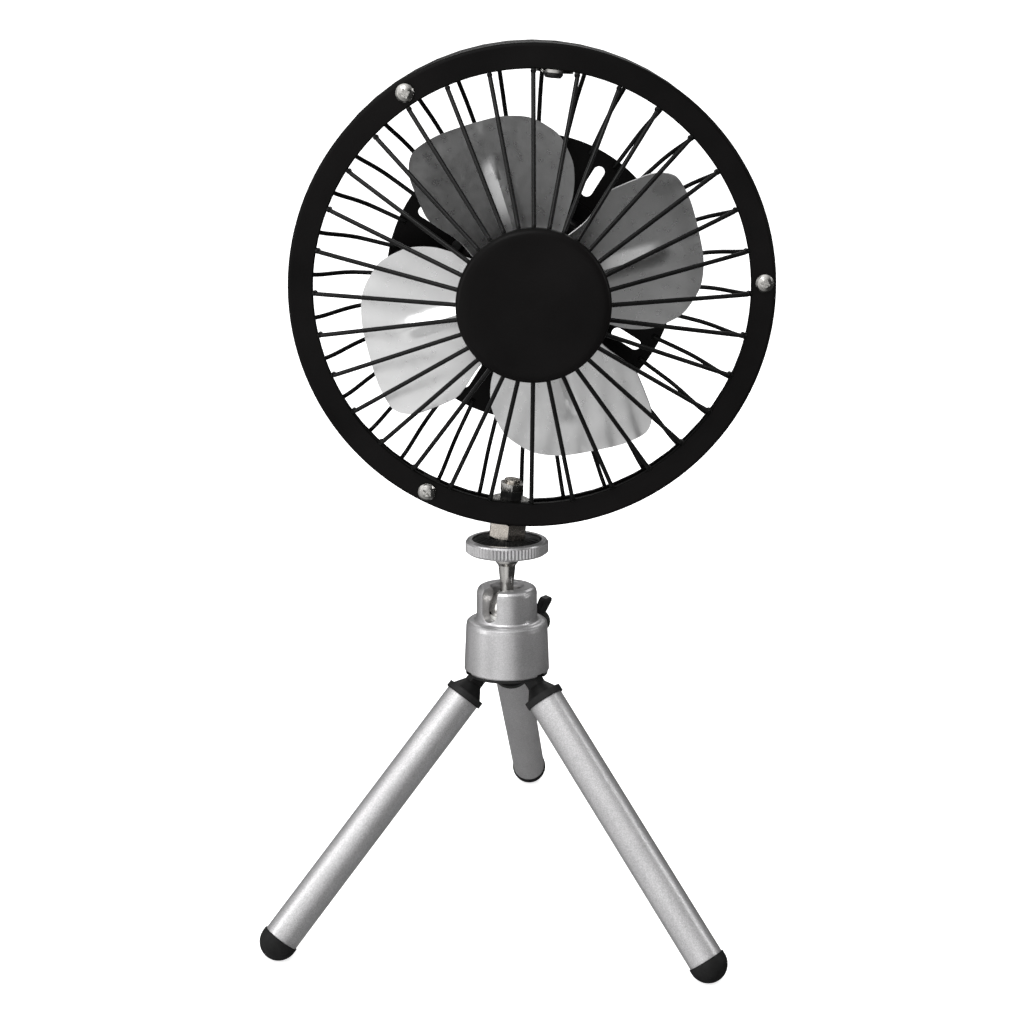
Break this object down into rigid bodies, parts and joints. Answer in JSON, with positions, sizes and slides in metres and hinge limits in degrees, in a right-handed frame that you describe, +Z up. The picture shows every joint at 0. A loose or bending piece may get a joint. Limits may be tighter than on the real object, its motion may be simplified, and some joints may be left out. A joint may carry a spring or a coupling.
{
  "type": "desk fan",
  "caption": "Small round wire-cage desk fan with a metal paddle rotor, standing on a folding mini tripod with a ball head and a wing clamp.",
  "frame": {"origin": "centre of the bounding box in X and Y, on the plane the three feet stand on", "axes": "+Z up, the fan faces -Y, +X to the right of someone looking at its front"},
  "size_m": [0.1568, 0.1464, 0.277],
  "materials": {
    "cast_silver": "satin",
    "bright_steel": "satin",
    "nickel": "satin",
    "leg_silver": "satin",
    "black_plastic": "satin",
    "black_rubber": "matte",
    "black_paint": "satin",
    "black_wire": "satin",
    "black_steel": "satin",
    "blade_aluminium": "satin",
    "white_plastic": "matte",
    "motor_steel": "satin",
    "magnet": "matte",
    "bronze": "satin",
    "copper": "satin",
    "brass": "satin"
  },
  "bodies": {
    "tripod_base": {"tripod_body": "cast_silver", "ball_seat": "white_plastic", "hinge_block": "black_plastic", "hinge_pins": "bright_steel"},
    "clamp": {"clamp_screw": "bright_steel", "clamp_wing": "black_plastic"},
    "left_leg": {"left_leg_plug": "black_plastic", "left_leg_tube": "leg_silver", "left_leg_foot": "black_rubber"},
    "right_leg": {"right_leg_plug": "black_plastic", "right_leg_tube": "leg_silver", "right_leg_foot": "black_rubber"},
    "rear_leg": {"rear_leg_plug": "black_plastic", "rear_leg_tube": "leg_silver", "rear_leg_foot": "black_rubber"},
    "platform": {"ball_stud": "bright_steel", "platform_wheel": "cast_silver", "platform_pad": "black_rubber", "tripod_screw": "bright_steel"},
    "fan_head": {"hex_coupler": "nickel", "mount_spacer": "black_plastic", "mount_washer": "bright_steel", "mount_nut": "black_steel", "mount_jam_nut": "bright_steel", "top_spacer": "black_plastic", "top_washer": "bright_steel", "top_screw": "black_steel", "rim_band": "black_paint", "front_ring": "black_paint", "ring_screws": "bright_steel", "front_wires": "black_wire", "front_cap": "black_paint", "cap_plate": "black_paint", "rear_wires": "black_wire", "rear_plate": "black_paint", "plate_screws": "black_steel", "cable_grommet": "black_rubber", "motor_housing": "black_paint", "motor_can": "motor_steel", "motor_screws": "bright_steel", "motor_magnets": "magnet", "front_bush": "bronze", "rear_bush": "bronze", "motor_end_cap": "white_plastic", "motor_brushes": "copper"},
    "rotor": {"motor_shaft": "motor_steel", "armature_core": "motor_steel", "armature_coils": "copper", "commutator": "copper", "blade_hub": "brass", "fan_blades": "blade_aluminium", "hub_nut": "bright_steel"}
  },
  "joints": [
    {"name": "head_tilt", "type": "hinge", "parent": "tripod_base", "child": "platform", "pos_m": [-0.00186, -0.0132, 0.1015], "axis": [0.8036, -0.5914, 0.0666], "range_deg": [-15, 85]},
    {"name": "head_swivel", "type": "hinge", "parent": "platform", "child": "fan_head", "pos_m": [-0.00201, -0.01077, 0.12488], "axis": [0.0881, 0.0468, 0.995], "continuous": true},
    {"name": "rotor_spin", "type": "hinge", "parent": "fan_head", "child": "rotor", "pos_m": [0.00498, -0.01148, 0.20352], "axis": [0.0094, -0.9989, 0.0461], "continuous": true},
    {"name": "clamp_turn", "type": "hinge", "parent": "tripod_base", "child": "clamp", "pos_m": [0.00772, -0.00128, 0.09178], "axis": [0.5951, 0.7998, -0.079], "range_deg": [0, 180]},
    {"name": "left_leg_fold", "type": "hinge", "parent": "tripod_base", "child": "left_leg", "pos_m": [-0.00863, -0.01832, 0.08299], "axis": [-0.4196, 0.9026, -0.0963], "range_deg": [-41.4, 9.1]},
    {"name": "right_leg_fold", "type": "hinge", "parent": "tripod_base", "child": "right_leg", "pos_m": [0.00448, -0.0195, 0.0832], "axis": [-0.5763, -0.8133, 0.0805], "range_deg": [-39.75, 10.75]},
    {"name": "rear_leg_fold", "type": "hinge", "parent": "tripod_base", "child": "rear_leg", "pos_m": [-0.00105, -0.00762, 0.08193], "axis": [0.9959, -0.0893, 0.0158], "range_deg": [-50.5, 0]}
  ]
}
